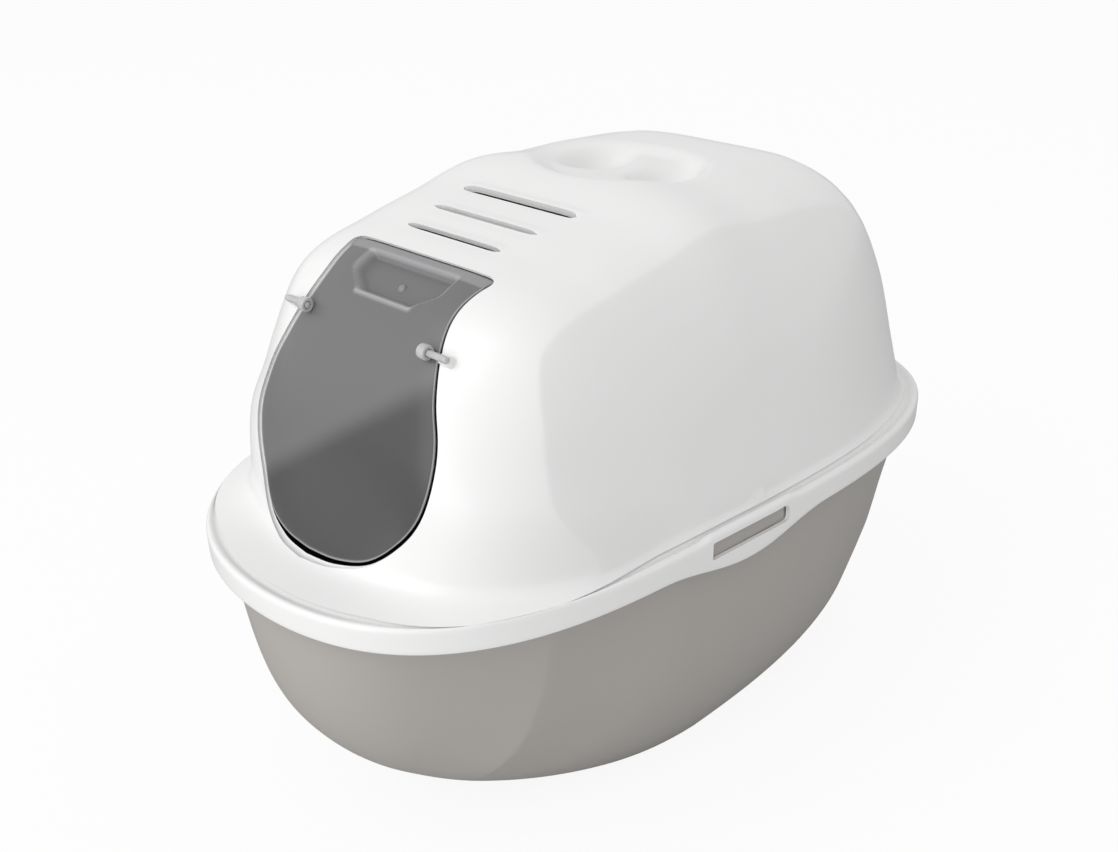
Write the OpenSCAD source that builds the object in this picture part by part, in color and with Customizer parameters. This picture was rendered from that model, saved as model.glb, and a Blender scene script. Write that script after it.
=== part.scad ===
// Hooded pet litter box: a tray, a lift-off hood with a swing flap, a roof handle and a vent filter.
// Front faces -Y, +X is to the right, +Z is up, and the tray stands on z = 0.

/* [Overall] */
// Length of the rim from front to rear
box_length = 538; // [480:2:600]
// Width of the rim at mid length
rim_width = 338; // [310:2:380]
// Height of the roof's highest point
box_height = 390; // [370:2:430]
// How much wider the rear is than the middle, as a share
rear_widening = 0.122; // [0.08:0.002:0.14]

/* [Tray] */
// Height of the rim's lower edge
skirt_z = 190; // [170:1:210]
// Wall of the tray
tray_wall = 2.5; // [2:0.1:4]
// Thickness of the tray's floor
floor_thickness = 3; // [2:0.1:6]
// Distance of the tray's wall from the rim's outer face
tray_inset = 10.5; // [9:0.1:12]
// Thickness of the flange the hood sits on
flange_thickness = 3; // [2:0.1:5]

/* [Hood] */
// Height of the rim band around the hood's foot
rim_depth = 17; // [15:0.5:24]
// Width of the ledge on top of the rim
ledge_width = 12.5; // [11:0.5:18]
// Wall of the hood
hood_wall = 2.5; // [2:0.1:3.5]
// Inward lean of the hood's sides for each mm of height
side_lean = 0.162; // [0.1:0.002:0.2]
// Height over which the threshold below the doorway sweeps out
flare_height = 24; // [16:1:28]
// Gap left between the hood and what it rests on
seat_gap = 0.3; // [0.1:0.05:0.6]

/* [Flap] */
// Gap all round the flap
flap_gap = 3; // [2:0.25:5]
// Thickness of the flap
flap_thickness = 2; // [1.5:0.1:3]
// How far the flap lies below the hood's outer face
flap_sink = 1.75; // [1:0.25:3]
// Depth of the finger pocket at the flap's top
pocket_depth = 6; // [3:0.5:10]
// Diameter of a hinge pin
pin_diameter = 4; // [3:0.1:5]
// Radial clearance of a pin in the flap's eye
pin_clearance = 0.05; // [0.02:0.01:0.1]
// Wall around a pin in the flap's eye
eye_wall = 2.4; // [1.5:0.1:3]
// Width of an eye along the pin
eye_width = 6; // [4:0.5:8]
// Distance of an eye's outer end from the flap's edge
eye_margin = 3.1; // [2:0.1:6]
// Height of a pin's middle above the hood's outer face
pin_lift = 2.55; // [2.2:0.05:3]
// Length of a hinge pin
pin_length = 26; // [22:0.5:30]
// Length of the block that holds a pin's outer end
block_length = 12; // [8:0.5:13]

/* [Roof vents] */
// Width of the two front slots
vent_width = 3.5; // [2.5:0.25:6]
// Width of the rear slot
rear_vent_width = 6; // [4:0.25:9]
// Half length of the front slot
vent_half_length = 40.5; // [34:0.5:44]

/* [Roof handle] */
// Half width of the handle's dish
dish_half_width = 66; // [56:1:72]
// Half length of the handle's dish
dish_half_length = 56; // [48:1:62]
// Place of the dish's middle behind the box's middle
dish_y = 46; // [36:1:54]
// Depth of the dish's shallow part
dish_depth = 6; // [4:0.5:9]
// Depth of the two finger hollows
hollow_depth = 27; // [20:0.5:34]
// Distance of a finger hollow's middle from the grip bar's middle
hollow_x = 32; // [29:0.5:35]
// Wall of the dish
dish_wall = 2.5; // [2:0.1:3.5]

/* [Side latches] */
// Length of the window a latch shows through
window_length = 70; // [56:1:80]
// Height of that window
window_height = 12; // [9:0.5:13]
// Place of the window's middle along the box
window_y = -20; // [-40:1:0]
// Depth of the bulge below the window
bulge_depth = 11; // [9:0.5:16]
// Half length of the bulge
bulge_half_length = 76; // [64:1:84]
// Thickness of a latch plate
latch_thickness = 3; // [2:0.1:3.5]
// Gap between a latch plate and the window's ends
latch_gap = 1.5; // [1:0.25:3]
// Diameter of a latch's pivot
pivot_diameter = 5; // [4:0.1:6]
// Radial clearance of the pivot in its lugs
pivot_clearance = 0.05; // [0.02:0.01:0.1]
// Width of a lug along the pivot
lug_width = 4; // [3:0.25:6]

/* [Filter] */
// Length of the filter cover from front to rear
filter_length = 76; // [60:1:76]
// Width of the filter cover
filter_width = 112; // [90:1:112]
// Height of the filter cover
filter_height = 10; // [8:0.5:12]
// Wall of the filter cover
filter_wall = 2; // [1.5:0.1:3]
// Thickness of the carbon pad
pad_thickness = 6; // [4:0.5:7]
// Gap between the cover and its rails
rail_gap = 0.4; // [0.3:0.05:0.8]
// Wall of the rails
rail_wall = 2; // [1.6:0.1:3]

/* [Hidden] */
eps = 0.01;
half_length = box_length / 2;
half_width = rim_width / 2;
ledge_z = skirt_z + rim_depth;
ledge_under_z = ledge_z - hood_wall;
flange_top_z = ledge_under_z - seat_gap;
// The hood's side profile: radius about the middle of its foot, every 15 degrees from front to rear,
// drawn for a hood 538 long and 183 tall.
hood_radii = [233, 216.5, 216, 213.1, 191.4, 180.4, 183, 185.2, 205, 235.7, 241.4, 244.5, 256.5];
profile_step = 15;
stretch_y = (half_length - ledge_width) / 256.5;
stretch_z = (box_height - ledge_z) / 183;
front_power = 4.84;
rear_power = 3.1;
roof_power = 5.145;
front_bow = 0.00269 * 269 / half_length;
bow_angle = 18;
flare_power = 7;
columns = 36;
row_angles = [0, 0.2, 0.45, 0.8, 1.2, 1.8, 2.6, 4, for (a = [6:5:176]) a, 180];
rows = len(row_angles) - 1;
// The doorway's edge: hood angle and half width, from its lowest point to its top corner.
door_line = [[1.4, 0], [1.5, 24], [2.1, 49], [5, 65.5], [10.8, 77.5], [18.3, 80.2], [24.5, 77], [31, 69.5],
    [37, 62.5], [42.5, 58.5], [47.5, 60], [51.5, 63.5]];
door_steps = 4;
door_scale = half_width / 169;
degree_mm = 3.55 * (stretch_y + stretch_z) / 2;
// Where the pins cross the doorway's edge, counted along door_line.
pin_step = 7.9;
flap_columns = 28;
pin_radius = pin_diameter / 2;
eye_end = door_at(pin_step)[1] - flap_gap - eye_margin;
pin_middle = dome_across(door_at(pin_step)[0], eye_end - eye_width / 2, -pin_lift);
pin_y = pin_middle[1];
pin_z = pin_middle[2];
filter_front = -112 * stretch_y;
filter_z = ledge_z + 145.5 * stretch_z;
window_top_z = ledge_under_z - 1;
window_bottom_z = window_top_z - window_height;
pivot_z = skirt_z - bulge_depth * 0.44;
pivot_half_length = 24;
near_x = rim_x(window_y - window_length / 2);
far_x = rim_x(window_y + window_length / 2);
latch_face = (near_x + far_x) / 2;
latch_yaw = -atan((far_x - near_x) / window_length);
latch_outer = -hood_wall - 0.3;
pivot_in = latch_outer - pivot_diameter / 2;

// Keeps a value between two limits.
function clamp(v, low, high) = min(max(v, low), high);
// A soft step from 0 to 1.
function soft(v) = let (u = clamp(v, 0, 1)) u * u * (3 - 2 * u);
// One entry of a list, carried on in a straight line past its ends.
function entry(k, i) = i < 0 ? 2 * k[0] - k[1]
    : i > len(k) - 1 ? 2 * k[len(k) - 1] - k[len(k) - 2] : k[i];
// A smooth curve through the entries of a list.
function curve(k, s) = let (i = min(floor(s), len(k) - 2), u = s - i,
    a = entry(k, i - 1), b = entry(k, i), c = entry(k, i + 1), d = entry(k, i + 2))
    b + 0.5 * u * (c - a + u * (2 * a - 5 * b + 4 * c - d + u * (3 * (b - c) + d - a)));
// A point of a rounded rectangle of half size 1: [share along Y, share along X].
function rounded(t, n) = let (c = abs(cos(t)), s = abs(sin(t)), r = pow(pow(c, n) + pow(s, n), -1 / n))
    [c * r, sign(t) * s * r];
// Width factor at a place along the box.
function widening(y) = 1 + rear_widening * y / half_length;

// Plan outline of the rim, moved inward by inset. side is -1 at the front and 1 at the rear.
function rim_at(t, side, inset) = let (n = side < 0 ? front_power : rear_power, q = rounded(t, n),
    x = (half_width * (1 + rear_widening * side * q[0]) - inset) * q[1],
    y = side * (half_length - inset) * q[0])
    [x, y + (side < 0 ? front_bow * x * x * q[0] : 0)];

// Sideways place of the rim's face at a place along the box.
function rim_x(y, x = half_width, turns = 4) = let (side = y < 0 ? -1 : 1,
    n = side < 0 ? front_power : rear_power,
    q = abs(y) / (half_length - (side < 0 ? front_bow * x * x : 0)))
    turns == 0 ? x : rim_x(y, half_width * (1 + rear_widening * side * q) * pow(1 - pow(q, n), 1 / n),
        turns - 1);

// Hood surface. a runs from 0 at the front foot over the roof to 180 at the rear foot.
function hood_power(a) = roof_power * pow(sin(a), 2)
    + pow(cos(a), 2) * (a < 90 ? front_power : rear_power);
function hood_radius(a) = curve(hood_radii, a / profile_step);
function hood_half_width(y, z, inset) = half_width * widening(y) - ledge_width - inset
    - side_lean * (z - ledge_z);
function hood_bow(a) = front_bow * (1 - soft(a / bow_angle));
function dome_at(a, t, inset) = let (q = rounded(t, hood_power(a)), r = hood_radius(a) - inset,
    y = -r * cos(a) * q[0] * stretch_y, z = ledge_z + r * sin(a) * q[0] * stretch_z,
    x = hood_half_width(y, z, inset) * q[1])
    [x, y + hood_bow(a) * x * x * q[0], z];
// How far the threshold has swept out at a height, as a share.
function flare(z) = pow(1 - clamp((z - ledge_z) / flare_height, 0, 1), flare_power);
function threshold(a, t, inset) = let (p = dome_at(a, t, inset), foot = dome_at(0, t, inset),
    edge = rim_at(t, -1, ledge_width + inset), u = flare(p[2] + 0.9 * inset))
    a < 90 ? u * [edge[0] - foot[0], edge[1] - foot[1], 0] : [0, 0, 0];
function hood_at(a, t, inset) = dome_at(a, t, inset) + threshold(a, t, inset);

// The same surface where X is known: a point at angle a and sideways place x.
function dome_across(a, x, inset, share = 0.98, turns = 4) = let (r = hood_radius(a) - inset,
    n = hood_power(a), y = -r * cos(a) * share * stretch_y, z = ledge_z + r * sin(a) * share * stretch_z)
    turns == 0 ? [x, y + hood_bow(a) * x * x * share, z] : dome_across(a, x, inset,
        pow(1 - pow(min(abs(x) / hood_half_width(y, z, inset), 0.999), n), 1 / n), turns - 1);
// Hood angle above a place in plan.
function roof_angle(x, y, a = 90, turns = 6) = turns == 0 ? a
    : roof_angle(x, y, acos(clamp(-y / stretch_y / hood_radius(a)
        / (0.001 + roof_share(a, x)), -0.95, 0.95)), turns - 1);
function roof_share(a, x) = let (p = dome_across(a, x, 0)) norm([p[1] / stretch_y,
    (p[2] - ledge_z) / stretch_z]) / hood_radius(a);
function roof_z(x, y) = dome_across(roof_angle(x, y), x, 0)[2];

// Number of a grid's point. Where the rows meet in one point at both ends, all use the first row's.
function grid_number(i, j, across, meeting) =
    meeting && (j == 0 || j == across) ? j : i * (across + 1) + j;
// Triangles of a grid of points, leaving out those that shrink to nothing where the rows meet.
function grid_faces(last, across, start, turned, meeting) = [
    for (i = [0:last - 1]) for (j = [0:across - 1]) let (
        a = start + grid_number(i, j, across, meeting),
        b = start + grid_number(i, j + 1, across, meeting),
        c = start + grid_number(i + 1, j + 1, across, meeting),
        d = start + grid_number(i + 1, j, across, meeting))
        each concat(b == c ? [] : [turned ? [a, c, b] : [a, b, c]],
            a == d ? [] : [turned ? [a, d, c] : [a, c, d]])];
// Triangles between two rings given by their point numbers.
function ring_faces(lower, upper) = let (n = len(lower)) [for (k = [0:n - 1]) let (m = (k + 1) % n)
    each [[lower[k], lower[m], upper[m]], [lower[k], upper[m], upper[k]]]];
function joined(rings) = [for (k = [0:len(rings) - 2]) each ring_faces(rings[k], rings[k + 1])];

// Ring of the rim outline at one height, front half first.
function rim_ring(inset, z) = [for (j = [0:2 * columns - 1]) let (front = j <= columns,
    t = -90 + 180 * (front ? j : 2 * columns - j) / columns,
    p = rim_at(t, front ? -1 : 1, inset)) [p[0], p[1], z]];

module hood_shell() {
    across = columns;
    skin = (rows + 1) * (across + 1);
    outer = [for (a = row_angles) for (j = [0:across]) hood_at(a, -90 + 180 * j / across, 0)];
    inner = [for (a = row_angles) for (j = [0:across]) hood_at(a, -90 + 180 * j / across, hood_wall)];
    steps = [[4, ledge_z], [1.2, ledge_z - 1], [0, ledge_z - 4], [0, skirt_z + 1], [0.6, skirt_z],
        [hood_wall, skirt_z], [hood_wall, ledge_under_z], [ledge_width + hood_wall, ledge_under_z]];
    rings = [for (s = steps) each rim_ring(s[0], s[1])];
    around = 2 * across;
    foot = [for (j = [0:around - 1]) j <= across ? j : rows * (across + 1) + 2 * across - j];
    points = concat(outer, inner, rings);
    ring_numbers = [for (k = [0:len(steps) - 1]) [for (j = [0:around - 1]) 2 * skin + k * around + j]];
    inner_foot = [for (f = foot) f + skin];
    polyhedron(points = points, faces = concat(
        grid_faces(rows, across, 0, true, true),
        grid_faces(rows, across, skin, false, true),
        joined(concat([foot], ring_numbers, [inner_foot]))), convexity = 8);
}

// Points of the doorway's edge, and of the same edge moved inward by gap.
function door_at(s) = let (p = curve(door_line, s)) [p[0], p[1] * door_scale];
function door_inner(s, gap) = let (p = door_at(s), ahead = door_at(min(s + 0.05, len(door_line) - 1)),
    behind = door_at(max(s - 0.05, 0)), d = [(ahead[0] - behind[0]) * degree_mm, ahead[1] - behind[1]],
    n = norm(d))
    [p[0] + gap * d[1] / n / degree_mm, max(p[1] - gap * d[0] / n, 1)];
door_count = (len(door_line) - 1) * door_steps;

module doorway_cut() {
    lines = [for (i = [0:door_count]) let (p = door_at(i / door_steps), w = max(p[1], 1))
        each [for (f = [[-w, -16], [w, -16], [w, 14], [-w, 14]]) dome_across(p[0], f[0], f[1])]];
    sides = [for (i = [0:door_count]) [for (k = [0:3]) 4 * i + 3 - k]];
    polyhedron(points = lines, faces = concat(joined(sides),
        [[0, 1, 2], [0, 2, 3]], [for (f = [[3, 2, 1], [3, 1, 0]]) [for (k = f) 4 * door_count + k]]));
}

// Depth of the finger pocket at a point of the flap.
function pocket(a, x) = let (half = a < 45.5 ? 24 + 14 * soft((a - 41.6) / 3.9) : 38.5)
    pocket_depth * soft((a - 41.2) / 1.7) * soft((49.8 - a) / 1.4) * soft((half + 1.5 - abs(x)) / 5);

module flap_door() {
    across = flap_columns;
    count = (door_count + 1) * (across + 1);
    // The last row stops short of the doorway's top edge by the gap.
    end = len(door_line) - 1 - flap_gap / degree_mm / 4.4;
    edges = [for (i = [0:door_count]) door_inner(end * i / door_count, flap_gap)];
    outer = [for (e = edges) for (j = [0:across]) let (x = e[1] * (2 * j / across - 1))
        dome_across(e[0], x, flap_sink + pocket(e[0], x))];
    inner = [for (e = edges) for (j = [0:across]) let (x = e[1] * (2 * j / across - 1))
        dome_across(e[0], x, flap_sink + flap_thickness + pocket(e[0], x))];
    rim = concat([for (j = [0:across]) j], [for (i = [1:door_count]) i * (across + 1) + across],
        [for (j = [1:across]) door_count * (across + 1) + across - j],
        [for (i = [1:door_count - 1]) (door_count - i) * (across + 1)]);
    color([0.25, 0.25, 0.26, 0.6]) union() {
        polyhedron(points = concat(outer, inner), faces = concat(
            grid_faces(door_count, across, 0, true, false),
            grid_faces(door_count, across, count, false, false),
            joined([rim, [for (r = rim) r + count]])), convexity = 6);
        for (side = [-1, 1]) flap_eye(side);
    }
}

// Ring on the flap that turns on a pin.
module flap_eye(side) {
    translate([side * (eye_end - eye_width / 2), pin_y, pin_z]) rotate([0, 90, 0]) difference() {
        union() {
            cylinder(r = pin_radius + pin_clearance + eye_wall, h = eye_width, center = true, $fn = 48);
            rotate([0, 0, 90 - door_at(pin_step)[0]]) translate([0, -eye_wall, -eye_width / 2])
                cube([pin_lift + flap_sink + 1.2, 2 * eye_wall, eye_width]);
        }
        cylinder(r = pin_radius + pin_clearance, h = eye_width + 1, center = true, $fn = 48);
    }
}

module hinge_pin(side) {
    color([0.72, 0.72, 0.72])
        translate([side * (eye_end - eye_width - 0.5 + pin_length / 2), pin_y, pin_z])
        rotate([0, 90, 0]) cylinder(r = pin_radius, h = pin_length, center = true, $fn = 48);
}
module hinge_pin_left() { hinge_pin(-1); }
module hinge_pin_right() { hinge_pin(1); }

// Block on the hood that holds the outer end of a pin.
module pin_block(side) {
    x = eye_end - eye_width - 0.5 + pin_length - block_length;
    translate([side > 0 ? x : -x - block_length, pin_y, pin_z]) rotate([-36, 0, 0])
        translate([0, -pin_radius * 0.3, -pin_radius - 1.6])
        cube([block_length, 10 + pin_radius, 2 * pin_radius + 3.2]);
}
module pin_groove(side) {
    translate([side * (eye_end - eye_width - 0.5 + pin_length / 2), pin_y, pin_z]) rotate([0, 90, 0])
        cylinder(r = pin_radius, h = pin_length, center = true, $fn = 48);
}

// Slot through the roof at one place, as long as given.
module roof_slot(y, half, width, lean) {
    translate([0, y, roof_z(0, y)]) rotate([lean, 0, 0]) linear_extrude(height = 24, center = true)
        union() {
            square([2 * half - width, width], center = true);
            for (side = [-1, 1]) translate([side * (half - width / 2), 0]) circle(d = width, $fn = 24);
        }
}

// Outline of the handle's dish in plan, made larger by more.
function dish_rim(more) = [for (k = [0:47]) let (q = 7.5 * k)
    [(dish_half_width + more) * cos(q), dish_y + (dish_half_length + more) * sin(q)]];
// Depth of the dish at a place: a shallow bowl with two hollows beside the grip bar.
function dish_drop(x, y) = let (u = x / dish_half_width, v = (y - dish_y) / dish_half_length,
    r = sqrt(u * u + v * v), h = norm([(abs(x) - hollow_x) / 27, (y - dish_y - 10) / 40]))
    dish_depth * soft((1 - r) / 0.22) + (hollow_depth - dish_depth) * soft((1 - h) / 0.6)
    * soft((1 - r) / 0.3);

module handle_well() {
    turns = 48;
    shares = [0.12, 0.24, 0.36, 0.47, 0.57, 0.66, 0.74, 0.81, 0.88, 0.94, 1];
    rim_points = len(shares) * turns;
    top = [for (s = shares) for (k = [0:turns - 1]) let (q = 360 * k / turns,
        x = dish_half_width * s * cos(q), y = dish_y + dish_half_length * s * sin(q))
        [x, y, roof_z(x, y) - dish_drop(x, y)]];
    bottom = [for (p = top) let (s = norm([p[0] / dish_half_width, (p[1] - dish_y) / dish_half_length]))
        [p[0], p[1], p[2] - dish_wall]];
    middle = [0, dish_y, roof_z(0, dish_y) - dish_drop(0, dish_y)];
    rings = [for (i = [0:len(shares) - 1]) [for (k = [0:turns - 1]) i * turns + k]];
    low = [for (r = rings) [for (p = r) p + rim_points]];
    center_top = 2 * rim_points;
    color([0.9, 0.9, 0.89]) polyhedron(
        points = concat(top, bottom, [middle, middle - [0, 0, dish_wall]]),
        faces = concat(joined(rings), [for (f = joined(low)) [f[0], f[2], f[1]]],
            ring_faces(rings[len(shares) - 1], low[len(shares) - 1]),
            [for (k = [0:turns - 1]) [center_top, (k + 1) % turns, k]],
            [for (k = [0:turns - 1]) [center_top + 1, rim_points + k, rim_points + (k + 1) % turns]]),
        convexity = 8);
}

// Puts its children on a side of the rim: local X points outward from the rim's face, Y runs along it.
module at_side(side) {
    mirror([side < 0 ? 1 : 0, 0, 0]) translate([latch_face, window_y, 0]) rotate([0, 0, latch_yaw])
        children();
}

// The rim's bulge below a latch window, with an outline like one wave.
module bulge() {
    outline = [for (k = [-12:12]) let (y = bulge_half_length * k / 12)
        [y, skirt_z + 1 - (bulge_depth + 1) * pow(cos(90 * k / 12), 2)]];
    translate([-hood_wall, 0, 0]) rotate([90, 0, 90]) linear_extrude(height = hood_wall)
        polygon(concat(outline, [[bulge_half_length, skirt_z + 4], [-bulge_half_length, skirt_z + 4]]));
}

// One of the two rails that the filter cover slides on, hung from the roof.
module filter_rail() {
    x = filter_width / 2 + rail_gap;
    near = filter_front + 3;
    far = filter_front + filter_length - 2;
    top = [for (k = [0:8]) let (y = far + (near - far) * k / 8) [y, roof_z(x, y) - hood_wall * 0.6]];
    translate([x, 0, 0]) rotate([90, 0, 90]) linear_extrude(height = rail_wall)
        polygon(concat([[near, filter_z - rail_wall - rail_gap], [far, filter_z - rail_wall - rail_gap]],
            top));
    translate([x - 5, near, filter_z - rail_wall - rail_gap]) cube([5 + eps, far - near, rail_wall]);
}

module hood() {
    color([0.93, 0.93, 0.92]) difference() {
        union() {
            hood_shell();
            for (side = [-1, 1]) at_side(side) bulge();
            for (side = [-1, 1]) mirror([side < 0 ? 1 : 0, 0, 0]) filter_rail();
            for (side = [-1, 1]) pin_block(side);
        }
        doorway_cut();
        roof_slot(-104 * stretch_y, vent_half_length, vent_width, 20);
        roof_slot(-76.5 * stretch_y, vent_half_length + 4, vent_width, 20);
        roof_slot(-46 * stretch_y, vent_half_length + 11, rear_vent_width, 20);
        translate([0, 0, ledge_z + (box_height - ledge_z) / 3]) linear_extrude(height = box_height)
            polygon(dish_rim(0.1));
        for (side = [-1, 1]) at_side(side) translate([-hood_wall - 1.5, -window_length / 2,
            window_bottom_z]) cube([hood_wall + 4, window_length, window_height]);
        for (side = [-1, 1]) pin_groove(side);
    }
}

// Tray outline at height share v of its wall, moved inward by inset.
function tray_at(t, side, v, inset) = let (s = 1 - pow(1 - v, 3.2),
    full = side < 0 ? front_power : rear_power, n = 2.38 + (full - 2.38) * pow(v, 5), q = rounded(t, n),
    x = (half_width * (1 + rear_widening * side * q[0]) - inset) * (0.71 + 0.29 * s) * q[1],
    y = side * (half_length - inset) * q[0] * (side < 0 ? 0.53 + 0.47 * s : 0.97 + 0.03 * s))
    [x, y + (side < 0 ? front_bow * (0.3 + 0.7 * v) * x * x * q[0] : 0)];
function tray_ring(z, inset) = [for (j = [0:2 * columns - 1]) let (front = j <= columns,
    t = -90 + 180 * (front ? j : 2 * columns - j) / columns,
    p = tray_at(t, front ? -1 : 1, min(z / skirt_z, 1), inset)) [p[0], p[1], z]];

module tray_shell() {
    shares = [0.02, 0.055, 0.1, 0.16, 0.23, 0.31, 0.4, 0.5, 0.62, 0.75, 0.88, 1];
    outer = concat([tray_ring(0, tray_inset)], [for (v = shares) tray_ring(v * skirt_z, tray_inset)]);
    flange_z = flange_top_z - flange_thickness;
    top = [rim_ring(tray_inset, flange_z), rim_ring(hood_wall + 0.7, flange_z),
        rim_ring(hood_wall + 0.7, flange_top_z), rim_ring(tray_inset + tray_wall, flange_top_z)];
    inner = [for (k = [len(shares) - 1:-1:1]) tray_ring(shares[k] * skirt_z, tray_inset + tray_wall)];
    all = concat(outer, top, inner, [tray_ring(floor_thickness, tray_inset + tray_wall)]);
    around = 2 * columns;
    numbers = [for (k = [0:len(all) - 1]) [for (j = [0:around - 1]) k * around + j]];
    last = len(all) - 1;
    polyhedron(points = [for (r = all) each r], faces = concat(
        [for (f = joined(numbers)) [f[0], f[2], f[1]]],
        [[for (j = [0:around - 1]) j]],
        [[for (j = [around - 1:-1:0]) last * around + j]]), convexity = 6);
}

// Lug that holds one end of a latch's pivot.
module lug(end) {
    foot = tray_inset + tray_wall / 2;
    translate([-foot, end * (pivot_half_length - lug_width / 2) - lug_width / 2,
        pivot_z - pivot_diameter / 2 - 1.4]) cube([foot + latch_outer, lug_width, pivot_diameter + 3.4]);
}

module tray() {
    color([0.5, 0.46, 0.43]) difference() {
        union() {
            difference() {
                tray_shell();
                for (side = [-1, 1]) at_side(side) translate([-tray_inset + 0.2,
                    -bulge_half_length, flange_top_z - flange_thickness - 1])
                    cube([tray_inset + 4, 2 * bulge_half_length, flange_thickness + 4]);
            }
            for (side = [-1, 1]) at_side(side) for (end = [-1, 1]) lug(end);
        }
        for (side = [-1, 1]) at_side(side) translate([pivot_in, 0, pivot_z]) rotate([90, 0, 0])
            cylinder(r = pivot_diameter / 2 + pivot_clearance, h = 2 * pivot_half_length + 4,
                center = true, $fn = 48);
    }
}

// Press plate seen through a window, with a tab down to its pivot.
module side_latch(side) {
    long = window_length - 2 * latch_gap;
    tab = 2 * (pivot_half_length - lug_width - 0.5);
    foot_z = pivot_z + pivot_diameter / 2 + 2.8;
    color([0.5, 0.46, 0.43]) at_side(side) union() {
        translate([latch_outer - latch_thickness, -long / 2, foot_z])
            cube([latch_thickness, long, window_top_z - latch_gap / 2 - foot_z]);
        translate([latch_outer - latch_thickness, -tab / 2, pivot_z])
            cube([latch_thickness, tab, foot_z + 1 - pivot_z]);
        translate([pivot_in, 0, pivot_z]) rotate([90, 0, 0])
            cylinder(r = pivot_diameter / 2, h = 2 * pivot_half_length - 1, center = true, $fn = 48);
    }
}
module side_latch_left() { side_latch(-1); }
module side_latch_right() { side_latch(1); }

module filter_cover() {
    bars = 9;
    pitch = (filter_length - 2 * filter_wall) / bars;
    color([0.85, 0.85, 0.84]) translate([0, filter_front, filter_z]) difference() {
        translate([-filter_width / 2, 0, 0]) cube([filter_width, filter_length, filter_height]);
        translate([-filter_width / 2 + filter_wall, filter_wall, filter_wall])
            cube([filter_width - 2 * filter_wall, filter_length - 2 * filter_wall, filter_height]);
        for (k = [0:bars - 1]) translate([-filter_width / 2 + 12, filter_wall + pitch * (k + 0.25), -1])
            cube([filter_width - 24, pitch * 0.5, filter_wall + 2]);
    }
}

module carbon_filter() {
    color([0.12, 0.12, 0.12])
        translate([-filter_width / 2 + filter_wall + 0.5, filter_front + filter_wall + 0.5,
            filter_z + filter_wall])
        cube([filter_width - 2 * filter_wall - 1, filter_length - 2 * filter_wall - 1, pad_thickness]);
}

tray();
hood();
handle_well();
flap_door();
hinge_pin_left();
hinge_pin_right();
side_latch_left();
side_latch_right();
filter_cover();
carbon_filter();
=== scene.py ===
# Hooded litter box with a swing flap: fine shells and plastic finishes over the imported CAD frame.
import math
import bpy
import numpy as np
from mathutils import Matrix


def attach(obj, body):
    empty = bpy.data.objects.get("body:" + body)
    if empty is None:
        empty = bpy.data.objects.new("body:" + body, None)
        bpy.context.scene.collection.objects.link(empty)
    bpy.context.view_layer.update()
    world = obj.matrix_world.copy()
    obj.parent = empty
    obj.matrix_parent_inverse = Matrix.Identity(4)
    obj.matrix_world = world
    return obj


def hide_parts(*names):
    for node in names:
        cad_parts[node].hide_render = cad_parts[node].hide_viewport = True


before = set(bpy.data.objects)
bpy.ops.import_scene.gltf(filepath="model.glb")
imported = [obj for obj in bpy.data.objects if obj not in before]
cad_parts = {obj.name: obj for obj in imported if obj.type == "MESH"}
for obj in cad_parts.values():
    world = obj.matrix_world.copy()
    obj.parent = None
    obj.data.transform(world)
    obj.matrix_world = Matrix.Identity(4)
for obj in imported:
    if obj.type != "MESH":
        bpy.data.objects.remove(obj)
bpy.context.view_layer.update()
scene = bpy.context.scene
print("frame loaded:", len(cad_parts), "nodes")

# Shapes are worked out in millimetres and written to the meshes in metres.
mm = 0.001

# Sizes that every shell shares, as in the CAD source.
box = {"halfLength": 269.0, "halfWidth": 169.0, "rearWidening": 0.122, "skirtZ": 190.0, "ledgeZ": 207.0,
       "ledgeWidth": 12.5, "wall": 2.5, "lean": 0.162, "flareHeight": 24.0, "flarePower": 7,
       "frontPower": 4.84, "rearPower": 3.1, "roofPower": 5.145, "frontBow": 0.00269, "bowAngle": 21.0,
       "degreeMm": 3.55}
# Side profile of the hood: radius about the middle of its foot, every 15 degrees from front to rear.
hoodRadii = np.array([233, 216.5, 216, 213.1, 191.4, 180.4, 183, 185.2, 205, 235.7, 241.4, 244.5, 256.5])
# Doorway edge from its lowest point to its top corner: hood angle in degrees, half width.
doorLine = np.array([[1.2, 0], [1.6, 26], [3.1, 48], [6.8, 64.5], [11.8, 76], [18.3, 81], [24.5, 78.5],
                     [31, 69.5], [37, 62.5], [42.5, 58.5], [47.5, 60], [51.5, 63.5]])


def soft(v):
    # smooth step: u * u * (3 - 2u) with u kept between 0 and 1
    u = np.clip(v, 0.0, 1.0)
    return u * u * (3 - 2 * u)


def bell(v):
    # 1 at 0, falling smoothly to 0 at 1 either side
    return (1 - np.clip(np.abs(v), 0, 1) ** 2) ** 2


def curveAt(knots, s):
    # Catmull-Rom curve through evenly numbered knots, carried on straight past both ends
    k = np.asarray(knots, float)
    k = np.concatenate([2 * k[:1] - k[1:2], k, 2 * k[-1:] - k[-2:-1]])
    s = np.asarray(s, float)
    i = np.clip(np.floor(s).astype(int), 0, len(k) - 4)
    u = s - i
    if k.ndim > 1:
        u = u[..., None]
    a, b, c, d = k[i], k[i + 1], k[i + 2], k[i + 3]
    return b + 0.5 * u * (c - a + u * (2 * a - 5 * b + 4 * c - d + u * (3 * (b - c) + d - a)))


def rounded(t, n):
    # superellipse of half size 1 at angle t: r = (|cos|^n + |sin|^n)^(-1/n), shares along Y and along X
    c, s = np.abs(np.cos(t)), np.abs(np.sin(t))
    r = (c ** n + s ** n) ** (-1 / n)
    return c * r, np.sign(t) * s * r


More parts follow.
